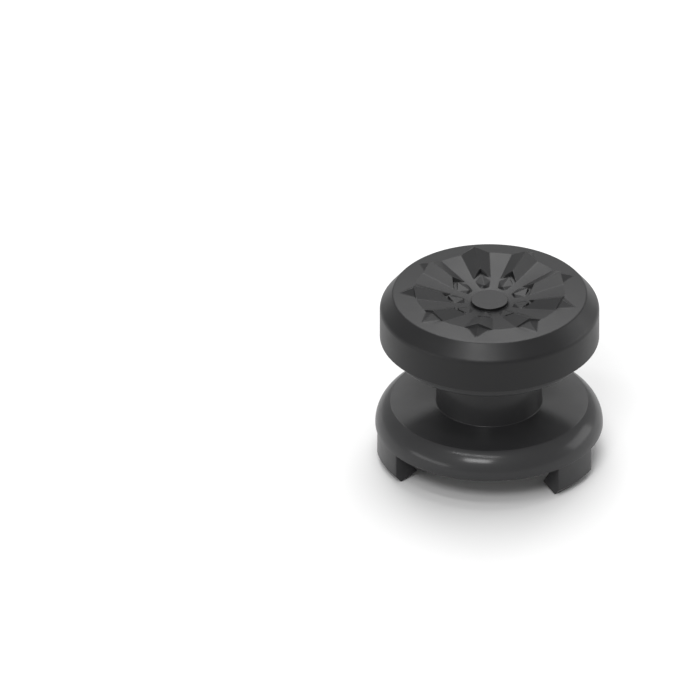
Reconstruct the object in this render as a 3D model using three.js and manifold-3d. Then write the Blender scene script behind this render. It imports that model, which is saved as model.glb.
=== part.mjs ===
// Tall thumb grip for a controller's stick. A soft nine-petal thumb pad is moulded over the
// flanged head of a hard clip base, and the base snaps over the stick's own cap with three hooks.
// Millimetres, +Z up. The origin is on the axis, in the plane that the hook tips stand on.
// Azimuths are in degrees from -Y, the front, towards +X.

import * as THREE from 'three';
import { mergeVertices } from 'three/addons/utils/BufferGeometryUtils.js';
import Module from 'manifold-3d';

// Clip base: the rounded rim, the dish on top of it and the socket under it
const RIM_RADIUS = 11.38;
const RIM_ROUND = 2.87;
const RIM_WIDEST_HEIGHT = 3.45;
const RIM_LOWER_HEIGHT = 3.27;
const DISH_EDGE_RADIUS = 9.9;
const DISH_THICKNESS = 1.5;
const SOCKET_RADIUS = 9.65;

// Clip base: the waist between the dish and the head
const NECK_RADIUS = 5.3;
const FLARE_RADIUS = 0.15;
const WAIST_HEIGHT = 6.14;

// Clip base: the head that the pad is moulded over
const HEAD_RADIUS = 9.85;
const HEAD_THICKNESS = 2.9;
const HEAD_EDGE_ROUND = 0.35;

// Clip base: the snap hooks
const HOOK_AZIMUTHS = [60, 180, 300];
const HOOK_WIDTH = 27.2;
const HOOK_OUTER_SETBACK = 0.095;
const HOOK_INNER_SETBACK = 0.05;
const HOOK_FOOT_CHAMFER = 0.635;
const HOOK_FOOT_RISE = 0.75;
const HOOK_CATCH_REACH = 0.9;
const HOOK_CATCH_HEIGHT = 0.65;
const HOOK_CATCH_TOP = 2.1;
const HOOK_ROOT_DEPTH = 0.4;

// Thumb pad: the cap that wraps the head
const FIT_CLEARANCE = 0.2;
const SKIRT_WALL = 0.89;
const SKIRT_DEPTH = 1.59;
const SIDE_HEIGHT = 3.34;
const BEVEL_RUN = 1.27;
const BEVEL_RISE = 1.55;
const EDGE_FILLET = 0.8;

// Thumb pad: the coned land, its crest and the bowl with a round hub
const CREST_INSET = 2.17;
const CREST_RISE = 0.27;
const BOWL_DEPTH = 1.02;
const HUB_RADIUS = 1.85;
const HUB_RISE = 0.33;

// Thumb pad: the raised petals. Insets are measured in from the pad's top edge.
const PETALS = 9;
const SPIKE_INSET = 0.67;
const SPIKE_LENGTH = 1.4;
const SPIKE_RISE = 0.68;
const SPIKE_HALF_WIDTH = 1.09;
const STEP_LENGTH = 0.04;
const PETAL_RISE = 0.97;
const PETAL_LENGTH = 2.82;
const PETAL_TAIL_RISE = 0.12;
const SHOULDER_HALF_WIDTH = 1.47;
const SHOULDER_STEP = 0.11;
const TAIL_HALF_WIDTH = 0.9;
const NOTCH_DEPTH = 0.89;

// Thumb pad: the low pointed island between each petal's tail and the hub. Its ridge stands over
// the land, and its side corners are sunk a little into it.
const ISLAND_GAP = 0.57;
const ISLAND_RISE = 0.25;
const ISLAND_ROOT_SINK = 0.02;
const ISLAND_HALF_WIDTH = 0.82;
const ISLAND_FOOT_HALF_WIDTH = 0.5;
const ISLAND_SHOULDER = 0.72;
const ISLAND_HUB_GAP = 0.7;

// Facets of the round stretches
const FACETS = 72;
const ARC_STEPS = 8;
const HOOK_STEPS = 6;
const ROOT_OVERLAP = 0.08;
const MERGE_DISTANCE = 1e-5;

const socketCeiling = dishHeight() - DISH_THICKNESS;
const waistTop = dishHeight() + WAIST_HEIGHT;
const headTop = waistTop + HEAD_THICKNESS;
const cavityRadius = HEAD_RADIUS + FIT_CLEARANCE;
const skirtRadius = cavityRadius + SKIRT_WALL;
const skirtBottom = headTop - SKIRT_DEPTH;
const bevelBottom = skirtBottom + SIDE_HEIGHT;
const topEdgeHeight = bevelBottom + BEVEL_RISE;
const topEdgeRadius = skirtRadius - BEVEL_RUN;
const crestRadius = topEdgeRadius - CREST_INSET;
const padCoreLevel = (headTop - topEdgeHeight) / 2;
const stepAlong = topEdgeRadius - SPIKE_INSET - SPIKE_LENGTH;
const roofAlong = stepAlong - STEP_LENGTH;
const tailAlong = roofAlong - PETAL_LENGTH;

// Height of the crease where the rim's round meets the flat dish
function dishHeight() {
  const reach = DISH_EDGE_RADIUS - (RIM_RADIUS - RIM_ROUND);
  return RIM_WIDEST_HEIGHT + Math.sqrt(RIM_ROUND ** 2 - reach ** 2);
}

// Points on an arc in the (radius, height) plane, angles in radians from the outward direction
function arc(centreR, centreZ, radius, from, to) {
  const points = [];
  for (let i = 0; i <= ARC_STEPS; i += 1) {
    const angle = from + ((to - from) * i) / ARC_STEPS;
    points.push([centreR + radius * Math.cos(angle), centreZ + radius * Math.sin(angle)]);
  }
  return points;
}

// Closed solid from a mesh: shared corners merged, flat slivers dropped, faces pointing out
function toSolid(wasm, geometry) {
  const bare = geometry.clone();
  bare.deleteAttribute('normal');
  bare.deleteAttribute('uv');
  const merged = mergeVertices(bare, MERGE_DISTANCE);
  const points = merged.getAttribute('position').array;
  const index = merged.index.array;
  const corner = (i) => new THREE.Vector3().fromArray(points, 3 * i);
  const triangles = [];
  let volume = 0;
  for (let i = 0; i < index.length; i += 3) {
    const [a, b, c] = [index[i], index[i + 1], index[i + 2]];
    if (a !== b && b !== c && c !== a) {
      triangles.push([a, b, c]);
      volume += corner(a).dot(corner(b).cross(corner(c)));
    }
  }
  const outward = volume < 0 ? triangles.map(([a, b, c]) => [a, c, b]) : triangles;
  return new wasm.Manifold(new wasm.Mesh({
    numProp: 3,
    vertProperties: new Float32Array(points),
    triVerts: new Uint32Array(outward.flat()),
  }));
}

function fromTriangles(triangles) {
  const geometry = new THREE.BufferGeometry();
  geometry.setAttribute('position', new THREE.Float32BufferAttribute(triangles.flat(2), 3));
  return geometry;
}

// Solid of revolution about Z from (radius, height) points
function turned(wasm, profile) {
  const points = profile.map(([r, z]) => new THREE.Vector2(r, z));
  const geometry = new THREE.LatheGeometry(points, FACETS);
  geometry.rotateX(Math.PI / 2);
  return toSolid(wasm, geometry);
}

// Solid of a (radius, height) profile swept round Z over a width centred on an azimuth. Every
// corner of the profile is in sight of its first one.
function swept(wasm, profile, azimuth, width) {
  const rings = [];
  for (let i = 0; i <= HOOK_STEPS; i += 1) {
    const angle = THREE.MathUtils.degToRad(azimuth + width * (i / HOOK_STEPS - 0.5));
    rings.push(profile.map(([r, z]) => [r * Math.sin(angle), -r * Math.cos(angle), z]));
  }
  const triangles = [];
  const count = profile.length;
  for (let i = 0; i < HOOK_STEPS; i += 1) {
    for (let j = 0; j < count; j += 1) {
      const k = (j + 1) % count;
      triangles.push([rings[i][j], rings[i + 1][k], rings[i][k]]);
      triangles.push([rings[i][j], rings[i + 1][j], rings[i + 1][k]]);
    }
  }
  for (let j = 1; j < count - 1; j += 1) {
    triangles.push([rings[0][0], rings[0][j], rings[0][j + 1]]);
    triangles.push([rings[HOOK_STEPS][0], rings[HOOK_STEPS][j + 1], rings[HOOK_STEPS][j]]);
  }
  return toSolid(wasm, fromTriangles(triangles));
}

// Solid with a faceted top over an outline. Points are (along the petal, across it, height over
// the top edge), and the walls run from the outline to one level.
function faceted(wasm, faces, outline, level, azimuth) {
  const angle = THREE.MathUtils.degToRad(azimuth);
  const place = ([a, w, h]) => [
    a * Math.sin(angle) + w * Math.cos(angle),
    -a * Math.cos(angle) + w * Math.sin(angle),
    topEdgeHeight + h,
  ];
  const foot = ([a, w]) => [a, w, level];
  const triangles = faces.map((face) => face.map(place));
  outline.forEach((point, i) => {
    const next = outline[(i + 1) % outline.length];
    triangles.push([point, foot(point), foot(next)].map(place));
    triangles.push([point, foot(next), next].map(place));
  });
  faces.forEach((face) => {
    triangles.push([face[2], face[1], face[0]].map(foot).map(place));
  });
  return toSolid(wasm, fromTriangles(triangles));
}

// Height of the coned land over the top edge, at a distance from the axis
function landHeight(radius) {
  if (radius >= crestRadius) {
    return (CREST_RISE * (topEdgeRadius - radius)) / CREST_INSET;
  }
  const fall = (CREST_RISE + BOWL_DEPTH) / (crestRadius - HUB_RADIUS);
  return CREST_RISE - fall * (crestRadius - radius);
}

// Point on the land, raised by a height
function onLand(along, across, raised = 0) {
  return [along, across, landHeight(Math.hypot(along, across)) + raised];
}

// Point past the second of two points, so that a facet's edge runs into the land
function past(from, to) {
  return to.map((value, i) => value + (value - from[i]) * ROOT_OVERLAP);
}

// The same point on the other side of the petal's own line
function mirrored([a, w, h]) {
  return [a, -w, h];
}

// Faces of one half together with their mirror images
function bothSides(half) {
  return [...half, ...half.map(([a, b, c]) => [mirrored(a), mirrored(c), mirrored(b)])];
}

// One petal: a low spike outside, a step up, and a gabled roof down to a notched tail
function petal(wasm, azimuth) {
  const shoulderAlong = Math.sqrt(crestRadius ** 2 - SHOULDER_HALF_WIDTH ** 2);
  const stepTop = [stepAlong, 0, SPIKE_RISE];
  const roofTop = [roofAlong, 0, PETAL_RISE];
  const tail = [tailAlong, 0, PETAL_TAIL_RISE];
  const tip = past(stepTop, onLand(topEdgeRadius - SPIKE_INSET, 0));
  const spikeFoot = past(stepTop, onLand(shoulderAlong + SHOULDER_STEP, SPIKE_HALF_WIDTH));
  const shoulder = past(roofTop, onLand(shoulderAlong, SHOULDER_HALF_WIDTH));
  const root = past(tail, onLand(tailAlong - NOTCH_DEPTH, TAIL_HALF_WIDTH));
  const half = [
    [tip, spikeFoot, stepTop],
    [stepTop, spikeFoot, shoulder],
    [stepTop, shoulder, roofTop],
    [roofTop, shoulder, tail],
    [tail, shoulder, root],
  ];
  const side = [spikeFoot, shoulder, root];
  const outline = [tip, ...side, tail, ...side.map(mirrored).reverse()];
  return faceted(wasm, bothSides(half), outline, padCoreLevel, azimuth);
}

// One island: a low gabled roof along the land, pointed at its outer end
function island(wasm, azimuth) {
  const apexAlong = tailAlong - ISLAND_GAP;
  const endAlong = HUB_RADIUS + ISLAND_HUB_GAP;
  const apex = onLand(apexAlong, 0, ISLAND_RISE);
  const end = onLand(endAlong, 0, ISLAND_RISE);
  const arm = onLand(apexAlong - ISLAND_SHOULDER, ISLAND_HALF_WIDTH, -ISLAND_ROOT_SINK);
  const foot = onLand(endAlong, ISLAND_FOOT_HALF_WIDTH, -ISLAND_ROOT_SINK);
  const half = [
    [apex, arm, end],
    [arm, foot, end],
  ];
  const outline = [apex, arm, foot, end, mirrored(foot), mirrored(arm)];
  return faceted(wasm, bothSides(half), outline, padCoreLevel, azimuth);
}

function buildThumbPad(wasm) {
  const slope = Math.atan2(BEVEL_RISE, BEVEL_RUN);
  const turn = Math.PI / 2 - slope;
  const tangent = EDGE_FILLET * Math.tan(turn / 2);
  const fillet = arc(skirtRadius - EDGE_FILLET, bevelBottom - tangent, EDGE_FILLET, 0, turn);
  let pad = turned(wasm, [
    [0, headTop],
    [cavityRadius, headTop],
    [cavityRadius, skirtBottom],
    [skirtRadius, skirtBottom],
    ...fillet,
    [topEdgeRadius, topEdgeHeight],
    [crestRadius, topEdgeHeight + CREST_RISE],
    [HUB_RADIUS, topEdgeHeight - BOWL_DEPTH],
    [HUB_RADIUS, topEdgeHeight - BOWL_DEPTH + HUB_RISE],
    [0, topEdgeHeight - BOWL_DEPTH + HUB_RISE],
  ]);
  for (let i = 0; i < PETALS; i += 1) {
    const azimuth = (360 * i) / PETALS;
    pad = pad.add(petal(wasm, azimuth)).add(island(wasm, azimuth));
  }
  return pad;
}

function buildClipBase(wasm) {
  const centreR = RIM_RADIUS - RIM_ROUND;
  const lowerAngle = Math.asin((RIM_LOWER_HEIGHT - RIM_WIDEST_HEIGHT) / RIM_ROUND);
  const creaseAngle = Math.acos((DISH_EDGE_RADIUS - centreR) / RIM_ROUND);
  const flareR = NECK_RADIUS + FLARE_RADIUS;
  const flareZ = dishHeight() + FLARE_RADIUS;
  const edgeR = HEAD_RADIUS - HEAD_EDGE_ROUND;
  const edgeZ = waistTop + HEAD_EDGE_ROUND;
  const body = turned(wasm, [
    [0, socketCeiling],
    [SOCKET_RADIUS, socketCeiling],
    [SOCKET_RADIUS, RIM_LOWER_HEIGHT],
    [centreR + RIM_ROUND * Math.cos(lowerAngle), RIM_LOWER_HEIGHT],
    ...arc(centreR, RIM_WIDEST_HEIGHT, RIM_ROUND, 0, creaseAngle),
    ...arc(flareR, flareZ, FLARE_RADIUS, -Math.PI / 2, -Math.PI),
    [NECK_RADIUS, waistTop],
    ...arc(edgeR, edgeZ, HEAD_EDGE_ROUND, -Math.PI / 2, 0),
    [HEAD_RADIUS, headTop],
    [0, headTop],
  ]);
  const outer = RIM_RADIUS - HOOK_OUTER_SETBACK;
  const inner = SOCKET_RADIUS + HOOK_INNER_SETBACK;
  const rootTop = RIM_LOWER_HEIGHT + HOOK_ROOT_DEPTH;
  const hookProfile = [
    [outer, HOOK_FOOT_RISE],
    [outer, rootTop],
    [inner + HOOK_ROOT_DEPTH, rootTop],
    [inner, RIM_LOWER_HEIGHT],
    [inner, HOOK_CATCH_TOP],
    [SOCKET_RADIUS - HOOK_CATCH_REACH, HOOK_CATCH_HEIGHT],
    [outer - HOOK_FOOT_CHAMFER, 0],
  ];
  return HOOK_AZIMUTHS.reduce(
    (solid, azimuth) => solid.add(swept(wasm, hookProfile, azimuth, HOOK_WIDTH)),
    body,
  );
}

// Named mesh from a finished solid
function toMesh(solid, name, material) {
  const { vertProperties, triVerts } = solid.getMesh();
  const indexed = new THREE.BufferGeometry();
  indexed.setAttribute('position', new THREE.BufferAttribute(vertProperties, 3));
  indexed.setIndex(new THREE.BufferAttribute(triVerts, 1));
  const geometry = indexed.toNonIndexed();
  geometry.computeVertexNormals();
  const mesh = new THREE.Mesh(geometry, material);
  mesh.name = name;
  return mesh;
}

const wasm = await Module();
wasm.setup();

const softRubber = new THREE.MeshStandardMaterial({
  color: 0x2b2b2c,
  roughness: 0.62,
  metalness: 0,
});
const hardPlastic = new THREE.MeshStandardMaterial({
  color: 0x1d1d1e,
  roughness: 0.3,
  metalness: 0,
});

const group = new THREE.Group();
group.add(toMesh(buildClipBase(wasm), 'clip_base', hardPlastic));
group.add(toMesh(buildThumbPad(wasm), 'thumb_pad', softRubber));

export default group;
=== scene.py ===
"""Tall clip-on thumb grip for a controller's stick, with its studio stage.

A soft rubber pad with nine raised petals is moulded over the head of a hard plastic base, and
the base has a waisted stem, a dished rim and three snap hooks. Lengths are metres, +Z is up, and
azimuths run from -Y, the front, towards +X.
"""

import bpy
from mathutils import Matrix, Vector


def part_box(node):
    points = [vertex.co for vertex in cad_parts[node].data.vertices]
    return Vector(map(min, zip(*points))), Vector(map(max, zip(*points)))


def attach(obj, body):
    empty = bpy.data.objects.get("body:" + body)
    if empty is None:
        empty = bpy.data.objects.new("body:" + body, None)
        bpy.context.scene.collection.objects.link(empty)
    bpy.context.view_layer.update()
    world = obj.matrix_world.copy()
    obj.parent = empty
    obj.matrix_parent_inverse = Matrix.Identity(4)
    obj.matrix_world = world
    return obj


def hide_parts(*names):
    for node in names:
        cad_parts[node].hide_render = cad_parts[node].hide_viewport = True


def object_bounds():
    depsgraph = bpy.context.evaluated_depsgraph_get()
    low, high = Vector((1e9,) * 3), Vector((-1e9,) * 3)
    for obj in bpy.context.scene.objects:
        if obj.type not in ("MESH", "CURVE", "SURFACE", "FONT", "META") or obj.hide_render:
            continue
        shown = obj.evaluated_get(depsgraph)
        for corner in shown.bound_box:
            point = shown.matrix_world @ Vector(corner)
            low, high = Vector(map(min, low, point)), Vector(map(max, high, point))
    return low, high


bl_info = {
    "name": "Tall Thumb Grip",
    "version": (1, 0, 0),
    "blender": (4, 5, 0),
    "location": "View3D > Sidebar > Thumb Grip",
    "description": "Builds a clip-on thumb grip with a petalled rubber pad, and its stage",
    "category": "Add Mesh",
}

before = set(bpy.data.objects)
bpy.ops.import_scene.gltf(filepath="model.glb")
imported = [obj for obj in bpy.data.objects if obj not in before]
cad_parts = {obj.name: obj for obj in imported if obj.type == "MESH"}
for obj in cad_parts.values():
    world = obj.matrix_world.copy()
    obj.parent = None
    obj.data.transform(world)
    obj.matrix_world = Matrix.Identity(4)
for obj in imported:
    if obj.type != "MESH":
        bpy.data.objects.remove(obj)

import math

import bpy
import numpy as np
from mathutils import Vector

CAD_LOW, CAD_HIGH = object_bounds()
BASE_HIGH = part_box("clip_base")[1]
PAD_LOW, PAD_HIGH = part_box("thumb_pad")
MM = 0.001

# Columns round the axis; the pad's number shares out evenly over the petals
PAD_COLUMNS = 648
BASE_COLUMNS = 240
# Points on the rim's round, on the sweep at the neck's foot, and on each of the small rounds
RIM_STEPS = 30
SWEEP_STEPS = 24
BASE_ROUND_STEPS = 7
LIP_STEPS = 9
PAD_ROUND_STEPS = 6
HOOK_ROUND_STEPS = 5
# Angles across a hook from one end round to the other
HOOK_SPAN_STEPS = 15
# How far past a small round its holding points lie: a share of the round's leg, and a length
HOLD_SHARE = 0.1
HOLD_LENGTH = 0.004 * MM
# Two faces that meet at more than this angle keep a sharp edge between them
BASE_SHARP_ANGLE = math.radians(32)
PAD_SHARP_ANGLE = math.radians(38)
# Rings of the tread, inwards: over the spikes, up the steps at the crest, down the roofs, and
# over the notches and the islands to the hub
TREAD_RINGS = (12, 15, 24, 46)
# How far the steps' rings reach outside and inside the crest, and the notches' outside the tails
CREST_OUTSIDE = 0.18 * MM
CREST_INSIDE = 0.02 * MM
TAIL_OUTSIDE = 0.11 * MM
# A notch's wall: the drop to its side corners as a share of the petal's rise, and its steep
# fall right under the tail
NOTCH_DROP_SHARE = 0.5
NOTCH_FALL_RUN = 0.1 * MM
NOTCH_FALL_DROP = 0.6 * MM
# Rise over run of the islands' end walls, so that they span the grid
WALL_STEEPNESS = 6
# The picture's width in pixels, and the grip's origin in it from the left and from the top
PICTURE_PIXELS = 700
ORIGIN_PIXEL = (488.95, 450.6)
# The camera's sensor and its lens in millimetres, so long that it shows almost no perspective,
# and the range that it sees, as shares of its distance
SENSOR_WIDTH = 36
LENS_LENGTH = 1000
NEAR_SHARE = 0.1
FAR_SHARE = 10
# Half the side of the square floor
FLOOR_HALF = 1.2
# Linear grey of the world's even light
WORLD_GREY = 0.58
# Lamps: degrees round from the camera, degrees up, distance, width, depth, and radiance
LAMPS = {
    "top_lamp": (177, 70, 0.8, 0.48, 0.6, 6.5),
    "back_lamp": (180, 40, 0.9, 0.8, 0.3, 2.0),
    "front_lamp": (-14, 46, 0.8, 0.3, 0.18, 17.0),
    "high_lamp": (-22, 66, 0.8, 0.5, 0.06, 12.0),
    "left_lamp": (-60, 9, 0.8, 0.6, 0.12, 4.0),
    "right_lamp": (105, 14, 0.8, 0.5, 0.35, 2.6),
}


def linear(code):
    """Linear RGB of an sRGB hex colour."""
    values = np.array([int(code[i:i + 2], 16) for i in (1, 3, 5)]) / 255
    low = values / 12.92
    high = ((values + 0.055) / 1.055) ** 2.4
    return tuple(float(v) for v in np.where(values <= 0.04045, low, high))


def length(name, description, default):
    """A length property in metres."""
    return bpy.props.FloatProperty(
        name=name, description=description, default=default, unit="LENGTH", precision=5
    )


def colour(name, description, code):
    """A colour property from an sRGB hex code."""
    return bpy.props.FloatVectorProperty(
        name=name, description=description, default=linear(code), subtype="COLOR", size=3
    )


class BaseSizes(bpy.types.PropertyGroup):
    """Sizes of the hard clip base."""

    rim_radius: length("Rim radius", "Widest radius of the rim", BASE_HIGH.x)
    rim_round: length("Rim round", "Radius of the rim's rounded section", 2.87 * MM)
    rim_widest: length("Widest height", "Height of the rim's widest line", 3.45 * MM)
    rim_lower: length("Lower edge", "Height of the rim's lower face", 3.27 * MM)
    dish_radius: length("Dish radius", "Radius where the rim's round meets the dish", 9.9 * MM)
    dish_wall: length("Dish wall", "Thickness from the dish down to the seat", 1.5 * MM)
    socket_radius: length("Socket radius", "Inner radius of the rim", 9.65 * MM)
    seat_round: length("Seat round", "Round between seat and socket wall", 0.15 * MM)
    neck_radius: length("Neck radius", "Radius of the round stem", 5.3 * MM)
    flare_radius: length("Flare", "Radius of the sweep from stem to dish", 0.08 * MM)
    dish_lip: length("Dish lip", "Rounding where the rim's round meets the dish", 0.15 * MM)
    waist_round: length("Waist round", "Round between stem and head", 0.2 * MM)
    head_radius: length("Head radius", "Radius of the flanged head", 9.85 * MM)
    head_top: length("Head top", "Height of the head's top face", BASE_HIGH.z)
    head_thickness: length("Head thickness", "Height of the flanged head", 2.9 * MM)
    head_round: length("Head edge", "Rounding of the head's lower edge", 0.35 * MM)
    hook_outer: length("Hook setback", "How far the hooks stand in from the rim", 0.095 * MM)
    hook_inner: length("Hook back", "How far the stems stand back from the socket", 0.05 * MM)
    hook_chamfer: length("Foot chamfer", "Run of the chamfer at a hook's foot", 0.635 * MM)
    hook_foot: length("Foot rise", "Height of the chamfer at a hook's foot", 0.75 * MM)
    hook_reach: length("Catch reach", "How far a catch reaches into the socket", 0.9 * MM)
    catch_height: length("Catch height", "Height of a catch's inner edge", 0.65 * MM)
    catch_top: length("Catch top", "Height where a catch leaves its stem", 2.1 * MM)
    hook_root: length("Hook root", "How far the hooks are sunk into the rim", 0.4 * MM)
    edge_round: length("Edge round", "Rounding of the moulded edges", 0.09 * MM)
    hooks: bpy.props.IntProperty(name="Hooks", description="Number of hooks", default=3)
    hook_width: bpy.props.FloatProperty(
        name="Hook width",
        description="Angle that one hook spans",
        default=math.radians(27.2),
        subtype="ANGLE",
    )


class PadSizes(bpy.types.PropertyGroup):
    """Sizes of the soft thumb pad."""

    skirt_radius: length("Skirt radius", "Outer radius of the pad", PAD_HIGH.x)
    skirt_bottom: length("Skirt bottom", "Height of the skirt's lower edge", PAD_LOW.z)
    side_height: length("Side height", "Height of the straight side", 3.34 * MM)
    bevel_run: length("Bevel run", "How far the bevel runs in", 1.27 * MM)
    bevel_rise: length("Bevel rise", "Height of the bevel", 1.55 * MM)
    side_fillet: length("Side fillet", "Round between side and bevel", 0.8 * MM)
    top_fillet: length("Top fillet", "Round between bevel and tread", 0.3 * MM)
    skirt_fillet: length("Skirt fillet", "Round of the skirt's lower edge", 0.06 * MM)
    head_gap: length("Head gap", "Space between the head and the pad's inside", 0.01 * MM)
    edge_land: length("Edge land", "Land inside the top edge, outside the spikes", 0.6 * MM)
    crest_inset: length("Crest inset", "From the top edge in to the crest", 2.17 * MM)
    crest_rise: length("Crest rise", "Height of the crest over the top edge", 0.27 * MM)
    bowl_depth: length("Bowl depth", "Depth of the bowl at the hub", 1.02 * MM)
    hub_radius: length("Hub radius", "Radius of the hub", 1.85 * MM)
    hub_rise: length("Hub rise", "Height of the hub over the bowl", 0.33 * MM)
    hub_round: length("Hub round", "Rounding of the hub's edge", 0.07 * MM)
    hub_land: length("Hub land", "Land round the hub, inside the islands", 0.3 * MM)
    hub_fillet: length("Hub fillet", "Round between land and hub", 0.03 * MM)


class PetalSizes(bpy.types.PropertyGroup):
    """Sizes of the raised petals and of the low islands at their tails."""

    count: bpy.props.IntProperty(name="Petals", description="Number of petals", default=9)
    spike_inset: length("Spike inset", "From the top edge to the spike's tip", 0.67 * MM)
    spike_length: length("Spike length", "Length of the low spike", 1.4 * MM)
    spike_rise: length("Spike rise", "Height of the spike at the step", 0.68 * MM)
    spike_half: length("Spike half width", "Half width of the spike's foot", 1.09 * MM)
    step_length: length("Step length", "Run of the step up to the roof", 0.04 * MM)
    petal_rise: length("Petal rise", "Height of the roof's outer end", 0.97 * MM)
    petal_length: length("Petal length", "Length of the roof's ridge", 2.82 * MM)
    tail_rise: length("Tail rise", "Height of the ridge at the tail", 0.12 * MM)
    shoulder_half: length("Shoulder half width", "Half width of the roof", 1.47 * MM)
    shoulder_step: length("Shoulder step", "From the shoulder out to the spike's foot", 0.11 * MM)
    tail_half: length("Tail half width", "Half width of the notched tail", 0.9 * MM)
    notch_depth: length("Notch depth", "Depth of the notch in the tail", 0.89 * MM)
    island_gap: length("Island gap", "From the notch to the island's point", 0.57 * MM)
    island_rise: length("Island rise", "Height of the island's ridge over the land", 0.25 * MM)
    island_sink: length("Island sink", "How far its side corners are sunk", 0.02 * MM)
    island_half: length("Island half width", "Half width of the island", 0.82 * MM)
    island_foot: length("Island foot", "Half width of the island's inner end", 0.5 * MM)
    island_shoulder: length("Island shoulder", "From its point to its widest", 0.72 * MM)
    island_hub_gap: length("Hub gap", "From the hub to the island", 0.7 * MM)


class Finishes(bpy.types.PropertyGroup):
    """Colours of the two materials and of the floor."""

    rubber: colour("Rubber", "Moulded black rubber", "#131314")
    plastic: colour("Plastic", "Moulded black plastic", "#242425")
    floor: colour("Floor", "Pale studio floor", "#cbcbcb")


class StageSizes(bpy.types.PropertyGroup):
    """Place of the camera and the lamps."""

    picture_width: length("Picture width", "Width of the picture at the grip", 70 * MM)
    azimuth: bpy.props.FloatProperty(
        name="Azimuth",
        description="Where the camera stands round the grip",
        default=math.radians(9.0),
        subtype="ANGLE",
    )
    elevation: bpy.props.FloatProperty(
        name="Elevation",
        description="How high the camera looks down",
        default=math.radians(30.9),
        subtype="ANGLE",
    )


def corner_arc(before, corner, after, radius, steps):
    """Points of a corner rounded by an arc: the arc touches both legs, which meet at the corner,
    and a holding point on each leg a little past the arc keeps the shading beside it flat."""
    before, corner, after = (np.array(p, float) for p in (before, corner, after))
    first = (before - corner) / np.linalg.norm(before - corner)
    second = (after - corner) / np.linalg.norm(after - corner)
    half = math.acos(np.clip(first @ second, -1, 1)) / 2
    leg = radius / math.tan(half)
    centre = corner + (first + second) / np.linalg.norm(first + second) * radius / math.sin(half)
    start = corner + first * leg - centre
    end = corner + second * leg - centre
    sweep = math.pi - 2 * half
    share = np.linspace(0, 1, steps)[:, None]
    curve = (np.sin((1 - share) * sweep) * start + np.sin(share * sweep) * end) / math.sin(sweep)
    past = leg + HOLD_SHARE * leg + HOLD_LENGTH
    return np.vstack([corner + first * past, centre + curve, corner + second * past])


def rounded(points, radii, steps=BASE_ROUND_STEPS):
    """A (radius, height) path whose inner corners are rounded; a radius of 0 keeps a corner."""
    path = [points[0]]
    for *legs, radius in zip(points, points[1:], points[2:], radii):
        path.append(corner_arc(*legs, radius, steps) if radius > 0 else legs[1])
    path.append(points[-1])
    return np.vstack(path)


def mesh_object(name, points, loops, starts):
    """A smooth mesh object at the origin from corner points, face loops and loop starts."""
    mesh = bpy.data.meshes.new(name)
    mesh.vertices.add(len(points))
    mesh.vertices.foreach_set("co", np.asarray(points, np.float32).ravel())
    mesh.loops.add(len(loops))
    mesh.loops.foreach_set("vertex_index", np.asarray(loops, np.int32))
    mesh.polygons.add(len(starts))
    mesh.polygons.foreach_set("loop_start", np.asarray(starts, np.int32))
    mesh.update(calc_edges=True)
    mesh.validate()
    mesh.shade_smooth()
    piece = bpy.data.objects.new(name, mesh)
    bpy.context.scene.collection.objects.link(piece)
    return piece


def turned_skin(name, radius, height, azimuth):
    """Closed skin round the Z axis. radius and height have a row for each ring and a column for
    each azimuth, and the first and last rows close to a pole: a point at (radius, azimuth) is
    (radius sin azimuth, -radius cos azimuth, height)."""
    rows, columns = radius.shape
    rings = np.stack([radius * np.sin(azimuth), -radius * np.cos(azimuth), height], axis=2)
    points = np.vstack([rings[0, :1], rings[1:-1].reshape(-1, 3), rings[-1, :1]])
    column = np.arange(columns)
    after = (column + 1) % columns
    ring = 1 + np.arange(rows - 3)[:, None] * columns
    quads = np.stack(
        [ring + column, ring + after, ring + columns + after, ring + columns + column], axis=2
    ).reshape(-1, 4)
    last = 1 + (rows - 3) * columns
    pole = len(points) - 1
    lower = np.stack([np.zeros(columns, int), 1 + after, 1 + column], axis=1)
    upper = np.stack([np.full(columns, pole), last + column, last + after], axis=1)
    loops = np.concatenate([quads.ravel(), lower.ravel(), upper.ravel()])
    starts = np.concatenate([
        np.arange(len(quads)) * 4,
        len(quads) * 4 + np.arange(2 * columns) * 3,
    ])
    return mesh_object(name, points, loops, starts)


def swept_bar(name, profile, angles, insets):
    """Closed bar whose section is swept round Z. profile is a closed (radius, height) loop, and
    at each angle it is drawn in along its own normals by the inset given for that angle."""
    ahead = np.roll(profile, -1, axis=0)
    behind = np.roll(profile, 1, axis=0)
    tangent = ahead - behind
    normal = np.stack([-tangent[:, 1], tangent[:, 0]], axis=1)
    normal /= np.linalg.norm(normal, axis=1)[:, None]
    section = profile[None] + normal[None] * insets[:, None, None]
    radius, height = section[..., 0], section[..., 1]
    turn = angles[:, None]
    points = np.stack([radius * np.sin(turn), -radius * np.cos(turn), height], axis=2)
    count = len(profile)
    column = np.arange(count)
    after = (column + 1) % count
    ring = np.arange(len(angles) - 1)[:, None] * count
    quads = np.stack(
        [ring + column, ring + count + column, ring + count + after, ring + after], axis=2
    ).reshape(-1, 4)
    end = (len(angles) - 1) * count
    loops = np.concatenate([quads.ravel(), column, end + column[::-1]])
    starts = np.concatenate([
        np.arange(len(quads)) * 4,
        [len(quads) * 4, len(quads) * 4 + count],
    ])
    return mesh_object(name, points.reshape(-1, 3), loops, starts)


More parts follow.
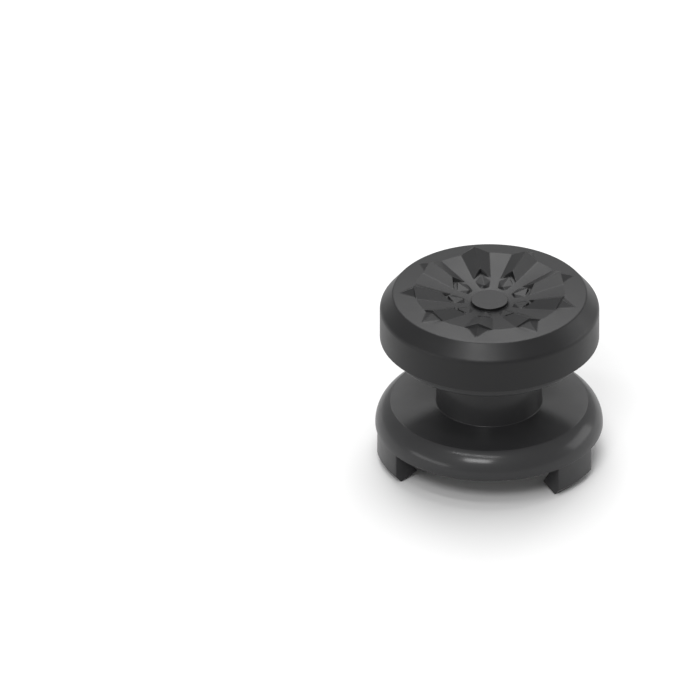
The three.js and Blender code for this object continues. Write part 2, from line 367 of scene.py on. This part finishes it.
def base_path(s):
    """The base's section from the seat's centre, round the rim, up the stem and over the head.
    The rim and the sweep at the neck's foot are arcs of (centre + radius cos, centre + radius
    sin), and their outermost points give way to the rounded corners."""
    centre = s.rim_radius - s.rim_round
    dish = s.rim_widest + math.sqrt(s.rim_round ** 2 - (s.dish_radius - centre) ** 2)
    lower = math.asin((s.rim_lower - s.rim_widest) / s.rim_round)
    crease = math.acos((s.dish_radius - centre) / s.rim_round)
    turn = np.linspace(lower, crease, RIM_STEPS)
    rim = np.stack(
        [centre + s.rim_round * np.cos(turn), s.rim_widest + s.rim_round * np.sin(turn)], axis=1
    )
    sweep = np.linspace(-math.pi / 2, -math.pi, SWEEP_STEPS)
    flare = np.stack(
        [
            s.neck_radius + s.flare_radius + s.flare_radius * np.cos(sweep),
            dish + s.flare_radius + s.flare_radius * np.sin(sweep),
        ],
        axis=1,
    )
    waist = s.head_top - s.head_thickness
    seat = dish - s.dish_wall
    socket = rounded(
        [(0, seat), (s.socket_radius, seat), (s.socket_radius, s.rim_lower), rim[0], rim[2]],
        [s.seat_round, s.edge_round, s.edge_round],
    )
    lip = rounded([rim[-3], rim[-1], flare[2]], [s.dish_lip], LIP_STEPS)
    head = rounded(
        [
            flare[-3],
            (s.neck_radius, waist),
            (s.head_radius, waist),
            (s.head_radius, s.head_top),
            (0, s.head_top),
        ],
        [s.waist_round, s.head_round, s.edge_round],
    )
    return np.vstack([socket[:-1], rim[3:-3], lip, flare[3:-3], head])


def hook_loop(s):
    """A hook's closed section: stem, chamfered foot and inward catch, all with small rounds."""
    outer = s.rim_radius - s.hook_outer
    inner = s.socket_radius + s.hook_inner
    root = s.rim_lower + s.hook_root
    corners = [
        (outer, root),
        (inner + s.hook_root, root),
        (inner, s.rim_lower),
        (inner, s.catch_top),
        (s.socket_radius - s.hook_reach, s.catch_height),
        (outer - s.hook_chamfer, 0.0),
        (outer, s.hook_foot),
    ]
    return np.vstack([
        corner_arc(before, corner, after, s.edge_round, HOOK_ROUND_STEPS)
        for before, corner, after in zip(corners[-1:] + corners, corners, corners[1:] + corners[:1])
    ])


def hook_angles(s, azimuth):
    """Angles across a hook and the inset at each: a quarter round at both ends, so an end plane's
    inset is the whole edge round and falls to nothing one edge round further in."""
    quarter = np.linspace(0, math.pi / 2, HOOK_ROUND_STEPS)
    depth = s.edge_round * (1 - np.cos(quarter)) / s.rim_radius
    inset = s.edge_round * (1 - np.sin(quarter))
    half = s.hook_width / 2
    middle = np.linspace(depth[-1] - half, half - depth[-1], HOOK_SPAN_STEPS)[1:-1]
    angles = np.concatenate([depth - half, middle, half - depth[::-1]])
    insets = np.concatenate([inset, np.zeros(len(middle)), inset[::-1]])
    return azimuth + angles, insets


def joined(body, tools):
    """The body with the tools united to it by exact booleans, which are applied."""
    for tool in tools:
        union = body.modifiers.new("join", "BOOLEAN")
        union.operation = "UNION"
        union.solver = "EXACT"
        union.object = tool
    graph = bpy.context.evaluated_depsgraph_get()
    mesh = bpy.data.meshes.new_from_object(body.evaluated_get(graph))
    body.modifiers.clear()
    body.data = mesh
    for tool in tools:
        bpy.data.objects.remove(tool)
    body.data.set_sharp_from_angle(angle=BASE_SHARP_ANGLE)
    return body


def top_radius(s):
    """Radius of the pad's top edge, where the bevel ends."""
    return s.skirt_radius - s.bevel_run


def crest_radius(s):
    """Radius of the ring where the land is highest."""
    return top_radius(s) - s.crest_inset


def roof_span(s, t):
    """Distances from the axis to a petal's step, to its roof's outer end and to its tail."""
    step = top_radius(s) - t.spike_inset - t.spike_length
    roof = step - t.step_length
    return step, roof, roof - t.petal_length


def land_height(s, radius):
    """Height of the coned land over the top edge: up to the crest, then down to the hub."""
    stops = [s.hub_radius, crest_radius(s), top_radius(s)]
    return np.interp(radius, stops, [-s.bowl_depth, s.crest_rise, 0])


def plane(p, q, r):
    """Height at (along, across) of the plane through three (along, across, height) points."""
    p, q, r = (np.array(v, float) for v in (p, q, r))
    n = np.cross(q - p, r - p)
    return lambda along, across: p[2] - (n[0] * (along - p[0]) + n[1] * (across - p[1])) / n[2]


def right_of(start, end, along, across):
    """Distance to the right of the line from start to end, in (along, across), and negative to
    the left of it: the cross product of the offset and the line's unit direction."""
    line = np.subtract(end, start)
    line /= np.linalg.norm(line)
    return (along - start[0]) * line[1] - (across - start[1]) * line[0]


def petal_height(s, t, along, across):
    """Height of a petal over the top edge: the lower of the gabled roof, the wall of its notch and
    the outer end, where the outer end is the higher of the step and the spike's facet."""
    step, roof, tail = roof_span(s, t)
    outermost = top_radius(s) - t.spike_inset
    shoulder = math.sqrt(crest_radius(s) ** 2 - t.shoulder_half ** 2)
    foot = shoulder + t.shoulder_step
    step_top = (step, 0, t.spike_rise)
    roof_top = (roof, 0, t.petal_rise)
    side = (shoulder, t.shoulder_half, s.crest_rise)
    tip = (outermost, 0, land_height(s, outermost))
    spike_foot = (foot, t.spike_half, land_height(s, math.hypot(foot, t.spike_half)))
    tail_top = (tail, 0, t.tail_rise)
    root_rise = t.tail_rise - NOTCH_DROP_SHARE * t.petal_rise
    root = (tail - t.notch_depth, t.tail_half, root_rise)
    wall_foot = (tail - NOTCH_FALL_RUN, 0, t.tail_rise - NOTCH_FALL_DROP)
    roof_plane = plane(roof_top, side, tail_top)(along, across)
    wall_plane = plane(tail_top, root, wall_foot)(along, across)
    step_plane = plane(roof_top, side, step_top)(along, across)
    spike_plane = plane(tip, spike_foot, step_top)(along, across)
    return np.minimum(np.minimum(roof_plane, wall_plane), np.maximum(step_plane, spike_plane))


def island_height(s, t, along, across, land):
    """Height of an island: the lowest of its two roof planes, which run into the land at the
    side, and of its end walls, which rise from the land by WALL_STEEPNESS times the distance
    inside the pointed end and the hub's end."""
    tail = roof_span(s, t)[-1]
    apex = tail - t.island_gap
    end = s.hub_radius + t.island_hub_gap
    arm = apex - t.island_shoulder

    def corner(forward, sideways, rise):
        return (forward, sideways, land_height(s, math.hypot(forward, sideways)) + rise)

    point = corner(apex, 0, t.island_rise)
    ridge_end = corner(end, 0, t.island_rise)
    eave = corner(arm, t.island_half, -t.island_sink)
    foot = corner(end, t.island_foot, -t.island_sink)
    outer_plane = plane(point, eave, ridge_end)(along, across)
    inner_plane = plane(eave, foot, ridge_end)(along, across)
    point_wall = land - WALL_STEEPNESS * right_of(point[:2], eave[:2], along, across)
    end_wall = land + WALL_STEEPNESS * (along - end)
    return np.min([outer_plane, inner_plane, point_wall, end_wall], axis=0)


def tread_height(s, t, radius, azimuth):
    """Height of the tread over the top edge: the highest of the land, the petals and the islands.
    All petals and islands are folded onto the one at azimuth 0."""
    pitch = 2 * math.pi / t.count
    turn = (azimuth + pitch / 2) % pitch - pitch / 2
    along = radius * np.cos(turn)
    across = np.abs(radius * np.sin(turn))
    land = land_height(s, radius)
    petals = petal_height(s, t, along, across)
    return np.maximum(np.maximum(land, petals), island_height(s, t, along, across, land))


def build_pad(s, t):
    """The thumb pad as one skin: inside, skirt, bevel, tread and hub, from pole to pole."""
    base = bpy.context.scene.grip_base
    inner = base.head_radius + s.head_gap
    ceiling = base.head_top + s.head_gap
    bevel = s.skirt_bottom + s.side_height
    edge = bevel + s.bevel_rise
    inset = top_radius(s) - s.edge_land
    shell = rounded(
        [
            (0, ceiling),
            (inner, ceiling),
            (inner, s.skirt_bottom),
            (s.skirt_radius, s.skirt_bottom),
            (s.skirt_radius, bevel),
            (top_radius(s), edge),
            (inset, edge + land_height(s, inset)),
        ],
        [s.skirt_fillet, s.skirt_fillet, s.skirt_fillet, s.side_fillet, s.top_fillet],
        PAD_ROUND_STEPS,
    )
    floor = edge - s.bowl_depth
    around = s.hub_radius + s.hub_land
    hub = rounded(
        [
            (around, edge + land_height(s, around)),
            (s.hub_radius, floor),
            (s.hub_radius, floor + s.hub_rise),
            (0, floor + s.hub_rise),
        ],
        [s.hub_fillet, s.hub_round],
        PAD_ROUND_STEPS,
    )
    crest = crest_radius(s)
    tail = roof_span(s, t)[-1]
    stops = [
        inset,
        crest + CREST_OUTSIDE,
        crest - CREST_INSIDE,
        tail + TAIL_OUTSIDE,
        around,
    ]
    rows = np.concatenate([
        np.linspace(start, stop, steps)[1:]
        for start, stop, steps in zip(stops, stops[1:], TREAD_RINGS)
    ])[:-1]
    azimuth = np.arange(PAD_COLUMNS) * 2 * math.pi / PAD_COLUMNS
    flat = np.ones(PAD_COLUMNS)
    tread = edge + tread_height(s, t, rows[:, None], azimuth[None])
    radius = np.vstack([
        np.outer(shell[:, 0], flat), np.outer(rows, flat), np.outer(hub[:, 0], flat)
    ])
    height = np.vstack([np.outer(shell[:, 1], flat), tread, np.outer(hub[:, 1], flat)])
    pad = turned_skin("grip_thumb_pad", radius, height, azimuth)
    pad.data.set_sharp_from_angle(angle=PAD_SHARP_ANGLE)
    return pad


def build_base(s):
    """The clip base as one skin: the turned body with the snap hooks united to it."""
    path = base_path(s)
    azimuth = np.arange(BASE_COLUMNS) * 2 * math.pi / BASE_COLUMNS
    flat = np.ones(BASE_COLUMNS)
    body = turned_skin(
        "grip_clip_base", np.outer(path[:, 0], flat), np.outer(path[:, 1], flat), azimuth
    )
    section = hook_loop(s)
    hooks = []
    # The front lies midway between two hooks
    for i in range(s.hooks):
        angles, insets = hook_angles(s, (i + 0.5) * 2 * math.pi / s.hooks)
        hooks.append(swept_bar(f"hook_{i}", section, angles, insets))
    return joined(body, hooks)


def node(tree, kind, settings=None, links=None):
    """Adds a shader node, sets its input defaults or attributes, and links sockets into it."""
    made = tree.nodes.new(kind)
    for key, value in (settings or {}).items():
        if key in made.inputs:
            made.inputs[key].default_value = value
        else:
            setattr(made, key, value)
    for key, socket in (links or {}).items():
        tree.links.new(socket, made.inputs[key])
    return made


def new_material(name):
    """A material with an empty node tree and its output node."""
    material = bpy.data.materials.new(name)
    material.use_nodes = True
    material.node_tree.nodes.clear()
    output = material.node_tree.nodes.new("ShaderNodeOutputMaterial")
    return material, material.node_tree, output


def tinted(base, share):
    """A base colour times a share, with full alpha."""
    return (*(value * share for value in base), 1)


def moulded_rubber(finishes):
    """Moulded black rubber: broad dull sheen, faint cloudiness and a fine matt grain."""
    material, tree, output = new_material("moulded rubber")
    place = node(tree, "ShaderNodeTexCoord").outputs["Object"]
    # Real moulded grain is about 0.03 mm; it is drawn at 0.12 mm to show
    grain = node(tree, "ShaderNodeTexNoise", {"Scale": 1 / (0.12 * MM), "Detail": 2.0},
                 {"Vector": place})
    cloud = node(tree, "ShaderNodeTexNoise", {"Scale": 1 / (2.5 * MM), "Detail": 3.0},
                 {"Vector": place})
    rough = node(tree, "ShaderNodeMapRange",
                 {"From Min": 0.3, "From Max": 0.7, "To Min": 0.4, "To Max": 0.46},
                 {"Value": cloud.outputs["Fac"]})
    base = finishes.rubber
    shade = node(tree, "ShaderNodeMix",
                 {"data_type": "RGBA", "A": tinted(base, 0.85), "B": tinted(base, 1.2)},
                 {"Factor": cloud.outputs["Fac"]})
    bump = node(tree, "ShaderNodeBump", {"Strength": 0.5, "Distance": 0.006 * MM},
                {"Height": grain.outputs["Fac"]})
    # Silicone rubber has an IOR of about 1.41; 1.35 is matched to the picture
    skin = node(tree, "ShaderNodeBsdfPrincipled", {"IOR": 1.35},
                {"Base Color": shade.outputs["Result"], "Roughness": rough.outputs["Result"],
                 "Normal": bump.outputs["Normal"]})
    tree.links.new(skin.outputs["BSDF"], output.inputs["Surface"])
    return material


def moulded_plastic(finishes):
    """Injection-moulded black ABS: soft gloss with a very faint unevenness in the reflections."""
    material, tree, output = new_material("moulded ABS plastic")
    place = node(tree, "ShaderNodeTexCoord").outputs["Object"]
    wave = node(tree, "ShaderNodeTexNoise", {"Scale": 1 / (1.6 * MM), "Detail": 1.0},
                {"Vector": place})
    # Tool marks of about 0.02 mm are drawn at 0.1 mm to show
    fine = node(tree, "ShaderNodeTexNoise", {"Scale": 1 / (0.1 * MM), "Detail": 2.0},
                {"Vector": place})
    rough = node(tree, "ShaderNodeMapRange",
                 {"From Min": 0.3, "From Max": 0.7, "To Min": 0.5, "To Max": 0.56},
                 {"Value": wave.outputs["Fac"]})
    swell = node(tree, "ShaderNodeBump", {"Strength": 0.25, "Distance": 0.008 * MM},
                 {"Height": wave.outputs["Fac"]})
    bump = node(tree, "ShaderNodeBump", {"Strength": 0.15, "Distance": 0.0012 * MM},
                {"Height": fine.outputs["Fac"], "Normal": swell.outputs["Normal"]})
    base = finishes.plastic
    shade = node(tree, "ShaderNodeMix",
                 {"data_type": "RGBA", "A": tinted(base, 0.9), "B": tinted(base, 1.1)},
                 {"Factor": wave.outputs["Fac"]})
    # ABS has an IOR of about 1.54; base and coat are matched to the picture, and the base is
    # lower because the coat carries the gloss
    skin = node(tree, "ShaderNodeBsdfPrincipled",
                {"IOR": 1.28, "Coat Weight": 0.42, "Coat Roughness": 0.18, "Coat IOR": 1.45},
                {"Base Color": shade.outputs["Result"], "Roughness": rough.outputs["Result"],
                 "Normal": bump.outputs["Normal"]})
    tree.links.new(skin.outputs["BSDF"], output.inputs["Surface"])
    return material


def studio_floor(finishes):
    """Pale matt floor, seen from above only, so that a view from below looks through it."""
    material, tree, output = new_material("studio floor")
    place = node(tree, "ShaderNodeTexCoord").outputs["Object"]
    tone = node(tree, "ShaderNodeTexNoise", {"Scale": 1 / (40 * MM)}, {"Vector": place})
    base = finishes.floor
    shade = node(tree, "ShaderNodeMix",
                 {"data_type": "RGBA", "A": tinted(base, 0.97), "B": tinted(base, 1)},
                 {"Factor": tone.outputs["Fac"]})
    matt = node(tree, "ShaderNodeBsdfDiffuse", None, {"Color": shade.outputs["Result"]})
    clear = node(tree, "ShaderNodeBsdfTransparent")
    side = node(tree, "ShaderNodeNewGeometry")
    mix = node(tree, "ShaderNodeMixShader", None, {"Fac": side.outputs["Backfacing"]})
    tree.links.new(matt.outputs["BSDF"], mix.inputs[1])
    tree.links.new(clear.outputs["BSDF"], mix.inputs[2])
    tree.links.new(mix.outputs["Shader"], output.inputs["Surface"])
    return material


def direction(azimuth, elevation):
    """Unit vector from the grip towards an azimuth and an elevation."""
    return Vector((
        math.sin(azimuth) * math.cos(elevation),
        -math.cos(azimuth) * math.cos(elevation),
        math.sin(elevation),
    ))


def aimed_object(name, data, aim, away, distance):
    """An object of a lamp or a camera that stands away from a point and looks at it."""
    made = bpy.data.objects.new(name, data)
    bpy.context.scene.collection.objects.link(made)
    made.location = aim + away * distance
    made.rotation_mode = "QUATERNION"
    made.rotation_quaternion = (-away).to_track_quat("-Z", "Y")
    return made


def add_lamp(name, azimuth, elevation, distance, width, depth, level):
    """Area lamp that looks at the grip's middle. Its level is the radiance of its face."""
    data = bpy.data.lights.new(name, "AREA")
    data.shape = "RECTANGLE"
    data.size = width
    data.size_y = depth
    data.energy = level * math.pi * width * depth
    middle = Vector((0, 0, CAD_HIGH.z / 2))
    aimed_object(name, data, middle, direction(azimuth, elevation), distance)


def build_camera(s):
    """Long-lens camera with the grip at the right of the picture: it looks at the point that
    puts the grip's origin at ORIGIN_PIXEL, from where the picture is as wide as it should be."""
    data = bpy.data.cameras.new("camera")
    data.sensor_width = SENSOR_WIDTH
    data.lens = LENS_LENGTH
    back = direction(s.azimuth, s.elevation)
    right = Vector((math.cos(s.azimuth), math.sin(s.azimuth), 0))
    up = back.cross(right)
    scale = s.picture_width / PICTURE_PIXELS
    over, down = (place - PICTURE_PIXELS / 2 for place in ORIGIN_PIXEL)
    aim = -right * over * scale + up * down * scale
    distance = s.picture_width * LENS_LENGTH / SENSOR_WIDTH
    data.clip_start = distance * NEAR_SHARE
    data.clip_end = distance * FAR_SHARE
    bpy.context.scene.camera = aimed_object("camera", data, aim, back, distance)


def finish_piece(piece, nodes, material):
    """Gives a piece its material and its place in the frame."""
    piece.data.materials.clear()
    piece.data.materials.append(material)
    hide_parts(*nodes)
    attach(piece, "root")


class THUMBGRIP_OT_clip_base(bpy.types.Operator):
    """Build the hard clip base"""

    bl_idname = "thumbgrip.clip_base"
    bl_label = "Clip Base"

    def execute(self, context):
        scene = context.scene
        piece = build_base(scene.grip_base)
        finish_piece(piece, ["clip_base"], moulded_plastic(scene.grip_finishes))
        return {"FINISHED"}


class THUMBGRIP_OT_thumb_pad(bpy.types.Operator):
    """Build the soft thumb pad with its petals"""

    bl_idname = "thumbgrip.thumb_pad"
    bl_label = "Thumb Pad"

    def execute(self, context):
        scene = context.scene
        piece = build_pad(scene.grip_pad, scene.grip_petals)
        finish_piece(piece, ["thumb_pad"], moulded_rubber(scene.grip_finishes))
        return {"FINISHED"}


class THUMBGRIP_OT_stage(bpy.types.Operator):
    """Build the floor, lamps, world and camera"""

    bl_idname = "thumbgrip.stage"
    bl_label = "Stage"

    def execute(self, context):
        scene = context.scene
        build_camera(scene.grip_stage)
        half = FLOOR_HALF
        corners = [(-half, -half, 0), (half, -half, 0), (half, half, 0), (-half, half, 0)]
        floor = mesh_object("studio_floor", corners, [0, 1, 2, 3], [0])
        floor.data.materials.append(studio_floor(scene.grip_finishes))
        for name, (turn, rise, *rest) in LAMPS.items():
            azimuth = scene.grip_stage.azimuth + math.radians(turn)
            add_lamp(name, azimuth, math.radians(rise), *rest)
        world = bpy.data.worlds.new("studio")
        world.use_nodes = True
        background = world.node_tree.nodes["Background"]
        background.inputs["Color"].default_value = (WORLD_GREY, WORLD_GREY, WORLD_GREY, 1)
        scene.world = world
        scene.view_settings.view_transform = "Standard"
        return {"FINISHED"}


class THUMBGRIP_PT_panel(bpy.types.Panel):
    """Lists the steps that build the grip."""

    bl_idname = "THUMBGRIP_PT_panel"
    bl_label = "Thumb Grip"
    bl_space_type = "VIEW_3D"
    bl_region_type = "UI"
    bl_category = "Thumb Grip"

    def draw(self, context):
        for step in STEPS:
            self.layout.operator(step.bl_idname)


STEPS = (THUMBGRIP_OT_clip_base, THUMBGRIP_OT_thumb_pad, THUMBGRIP_OT_stage)
GROUPS = {
    "grip_base": BaseSizes,
    "grip_pad": PadSizes,
    "grip_petals": PetalSizes,
    "grip_finishes": Finishes,
    "grip_stage": StageSizes,
}
CLASSES =(*GROUPS.values(), *STEPS, THUMBGRIP_PT_panel)


def register():
    """Registers the classes and puts the groups of sizes on the scene."""
    for kind in CLASSES:
        bpy.utils.register_class(kind)
    for name, kind in GROUPS.items():
        setattr(bpy.types.Scene, name, bpy.props.PointerProperty(type=kind))


def unregister():
    """Takes the groups of sizes off the scene and unregisters the classes."""
    for name in GROUPS:
        delattr(bpy.types.Scene, name)
    for kind in reversed(CLASSES):
        bpy.utils.unregister_class(kind)


def main():
    register()
    bpy.ops.thumbgrip.stage()
    bpy.ops.thumbgrip.clip_base()
    bpy.ops.thumbgrip.thumb_pad()


if __name__ == "__main__":
    main()
